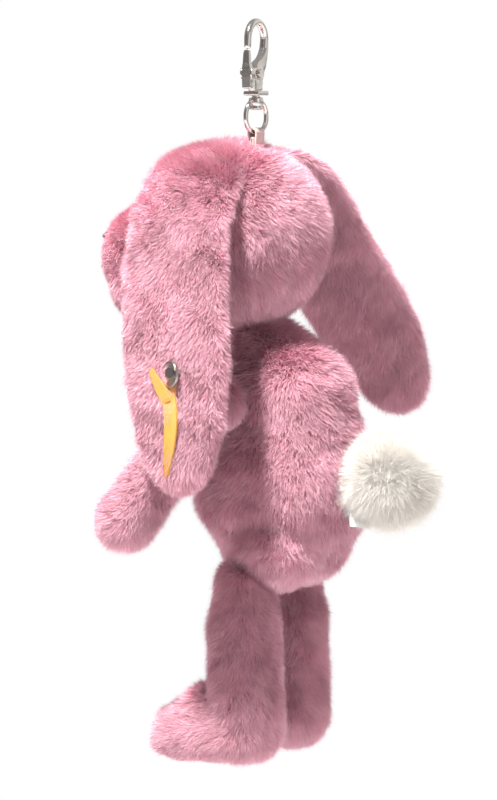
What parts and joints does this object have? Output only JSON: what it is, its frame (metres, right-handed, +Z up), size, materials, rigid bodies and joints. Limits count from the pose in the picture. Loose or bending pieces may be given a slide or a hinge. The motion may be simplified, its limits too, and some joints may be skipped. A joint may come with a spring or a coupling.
{
  "type": "plush keychain",
  "caption": "Long-eared plush rabbit charm hanging by a ribbon from a swivel trigger hook, with a fluffy tail, a rivet and a folded tape on one ear.",
  "frame": {"origin": "top of the hook's mouth, where the ring it hangs from bears", "axes": "+Z up along the hanging line, the rabbit faces -Y and its left side is +X"},
  "size_m": [0.1021, 0.0825, 0.1631],
  "materials": {
    "chrome_steel": "polished",
    "spring_steel": "satin",
    "ribbon_satin": "satin ribbon",
    "thread_pink": "polyester thread",
    "plush_pink": "brushed long pile",
    "fibre_white": "loose fibre filling",
    "eye_black": "gloss",
    "washer_white": "matt",
    "thread_rose": "embroidery thread",
    "tape_yellow": "woven tape",
    "label_white": "satin label",
    "tail_ivory": "long fluffy pile"
  },
  "bodies": {
    "hook": {"hook_body": "chrome_steel", "hook_pivot_pin": "chrome_steel", "trigger_spring": "spring_steel"},
    "trigger": {"trigger": "chrome_steel"},
    "swivel": {"swivel_eye": "chrome_steel"},
    "head": {"ribbon_loop": "ribbon_satin", "ribbon_bartack": "thread_pink", "head_gusset": "plush_pink", "head_side_left": "plush_pink", "head_side_right": "plush_pink", "head_stuffing": "fibre_white", "eye_left": "eye_black", "eye_right": "eye_black", "eye_washer_left": "washer_white", "eye_washer_right": "washer_white", "nose_embroidery": "thread_rose", "mouth_embroidery": "thread_rose", "ear_root_left": "plush_pink", "ear_root_right": "plush_pink"},
    "ear_left": {"ear_left_plush": "plush_pink", "ear_left_wadding": "fibre_white", "ear_left_lining": "plush_pink", "rivet_cap": "chrome_steel", "rivet_shank": "chrome_steel", "ear_tape": "tape_yellow"},
    "ear_right": {"ear_right_plush": "plush_pink", "ear_right_wadding": "fibre_white", "ear_right_lining": "plush_pink"},
    "torso": {"torso_front": "plush_pink", "torso_back": "plush_pink", "torso_stuffing": "fibre_white", "care_label": "label_white"},
    "tail": {"tail_pompom": "tail_ivory", "tail_tie": "thread_pink"},
    "arm_left": {"arm_left_plush": "plush_pink", "arm_left_stuffing": "fibre_white"},
    "arm_right": {"arm_right_plush": "plush_pink", "arm_right_stuffing": "fibre_white"},
    "leg_left": {"leg_left_plush": "plush_pink", "leg_left_stuffing": "fibre_white", "sole_left": "plush_pink"},
    "leg_right": {"leg_right_plush": "plush_pink", "leg_right_stuffing": "fibre_white", "sole_right": "plush_pink"}
  },
  "joints": [
    {"name": "trigger_press", "type": "hinge", "parent": "hook", "child": "trigger", "pos_m": [0.0012, 0, -0.0104], "axis": [0, -1, 0], "range_deg": [0, 30], "stiffness_Nm_per_rad": 0.02, "springref_deg": -17.19},
    {"name": "swivel_turn", "type": "hinge", "parent": "hook", "child": "swivel", "pos_m": [0, 0, -0.01535], "axis": [0, 0, 1], "continuous": true},
    {"name": "strap_swing", "type": "hinge", "parent": "swivel", "child": "head", "pos_m": [0, 0, -0.02253], "axis": [1, 0, 0], "range_deg": [-60, 60]},
    {"name": "neck_nod", "type": "hinge", "parent": "head", "child": "torso", "pos_m": [0, 0.0015, -0.0682], "axis": [1, 0, 0], "range_deg": [-18, 18], "stiffness_Nm_per_rad": 0.02},
    {"name": "ear_left_lift", "type": "hinge", "parent": "head", "child": "ear_left", "pos_m": [0.0232, -0.004, -0.0326], "axis": [0, -1, 0], "range_deg": [0, 110]},
    {"name": "ear_right_lift", "type": "hinge", "parent": "head", "child": "ear_right", "pos_m": [-0.02132, -0.00067, -0.0309], "axis": [0.2079, 0.9781, 0], "range_deg": [-12, 70], "stiffness_Nm_per_rad": 0.01, "springref_deg": 2.86},
    {"name": "arm_left_swing", "type": "hinge", "parent": "torso", "child": "arm_left", "pos_m": [0.0234, 0.003, -0.08], "axis": [-1, 0, 0], "range_deg": [-22, 60], "stiffness_Nm_per_rad": 0.01},
    {"name": "arm_right_swing", "type": "hinge", "parent": "torso", "child": "arm_right", "pos_m": [-0.0234, 0.003, -0.08], "axis": [-1, 0, 0], "range_deg": [-22, 60], "stiffness_Nm_per_rad": 0.01},
    {"name": "leg_left_swing", "type": "hinge", "parent": "torso", "child": "leg_left", "pos_m": [0.0116, 0.003, -0.121], "axis": [-1, 0, 0], "range_deg": [-16, 30], "stiffness_Nm_per_rad": 0.02},
    {"name": "leg_right_swing", "type": "hinge", "parent": "torso", "child": "leg_right", "pos_m": [-0.0116, 0.003, -0.121], "axis": [-1, 0, 0], "range_deg": [-16, 30], "stiffness_Nm_per_rad": 0.02},
    {"name": "tail_wag", "type": "hinge", "parent": "torso", "child": "tail", "pos_m": [0, 0.0277, -0.0973], "axis": [0, 0, 1], "range_deg": [-15, 15], "stiffness_Nm_per_rad": 0.004}
  ]
}
